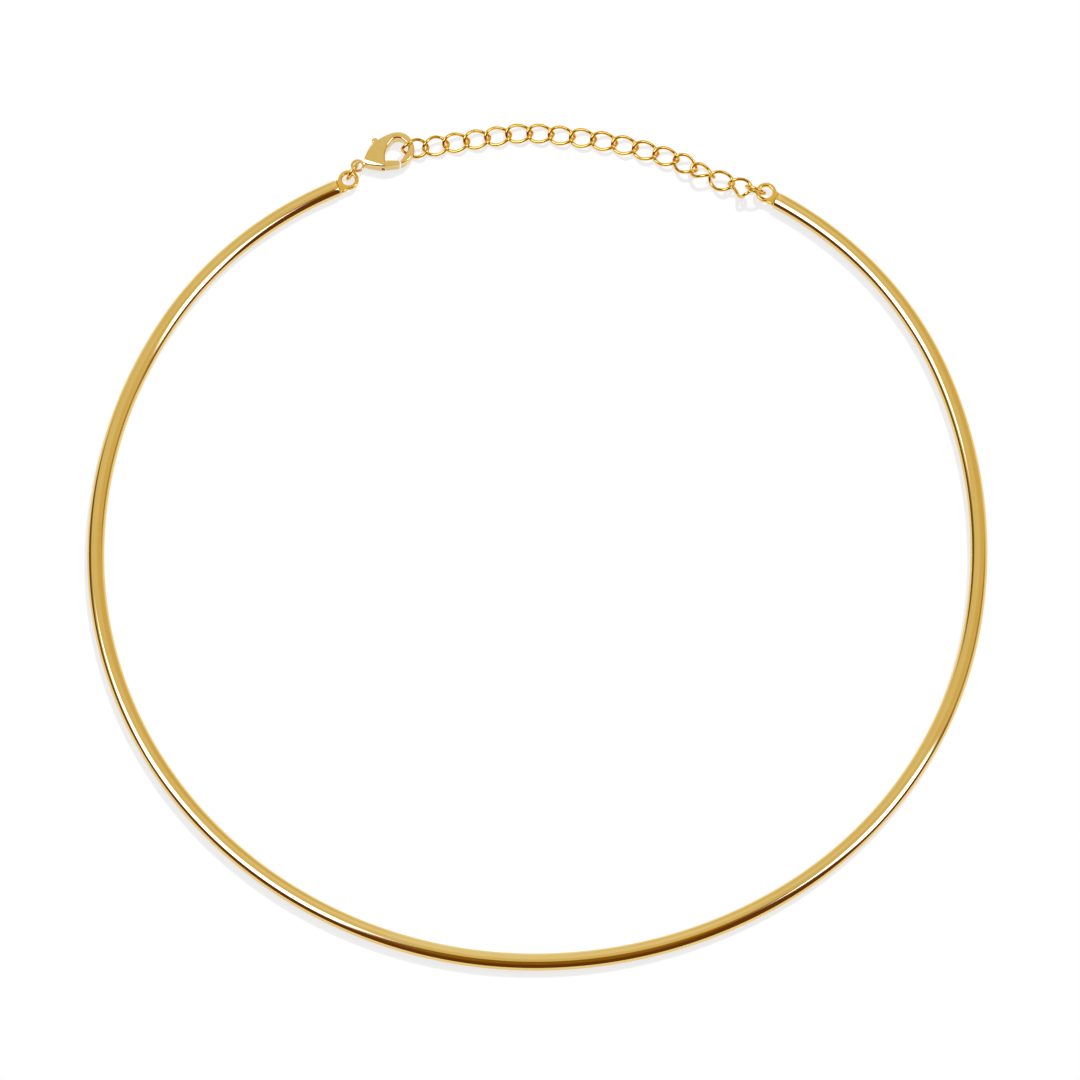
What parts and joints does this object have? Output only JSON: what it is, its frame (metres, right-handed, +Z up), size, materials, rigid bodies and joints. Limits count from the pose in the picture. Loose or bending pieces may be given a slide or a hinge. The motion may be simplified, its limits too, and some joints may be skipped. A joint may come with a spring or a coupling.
{
  "type": "choker",
  "caption": "Rigid oval-tube collar, open at the back of the neck, closed by a lever hook clasp and an extender chain of twisted curb links.",
  "frame": {"origin": "on the surface that the choker lies on, under the middle of its box", "axes": "+Z up out of the surface, +X across the collar to the right, +Y towards the opening at the back of the neck"},
  "size_m": [0.1301, 0.1316, 0.0034],
  "materials": {
    "collar_gold": "polished yellow gold plating",
    "clasp_gold": "cast, tumble polished yellow gold plating",
    "lever_gold": "cast, tumble polished yellow gold plating",
    "ring_gold": "drawn wire, polished yellow gold plating",
    "link_gold": "drawn and twisted wire, polished yellow gold plating"
  },
  "bodies": {
    "choker": {"collar": "collar_gold", "clasp_body": "clasp_gold", "clasp_ring": "ring_gold", "link_01": "link_gold", "link_02": "link_gold", "link_03": "link_gold", "link_04": "link_gold", "link_05": "link_gold", "link_06": "link_gold", "link_07": "link_gold", "link_08": "link_gold", "link_09": "link_gold", "link_10": "link_gold", "link_11": "link_gold", "link_12": "link_gold", "link_13": "link_gold", "link_14": "link_gold", "link_15": "link_gold", "link_16": "link_gold", "link_17": "link_gold", "chain_ring": "ring_gold"},
    "lever": {"clasp_lever": "lever_gold"}
  },
  "joints": [
    {"name": "lever_press", "type": "hinge", "parent": "choker", "child": "lever", "pos_m": [-0.02292, 0.05931, 0.001], "axis": [0, 0, 1], "range_deg": [0, 24], "stiffness_Nm_per_rad": 0.002, "springref_deg": -20.05}
  ]
}
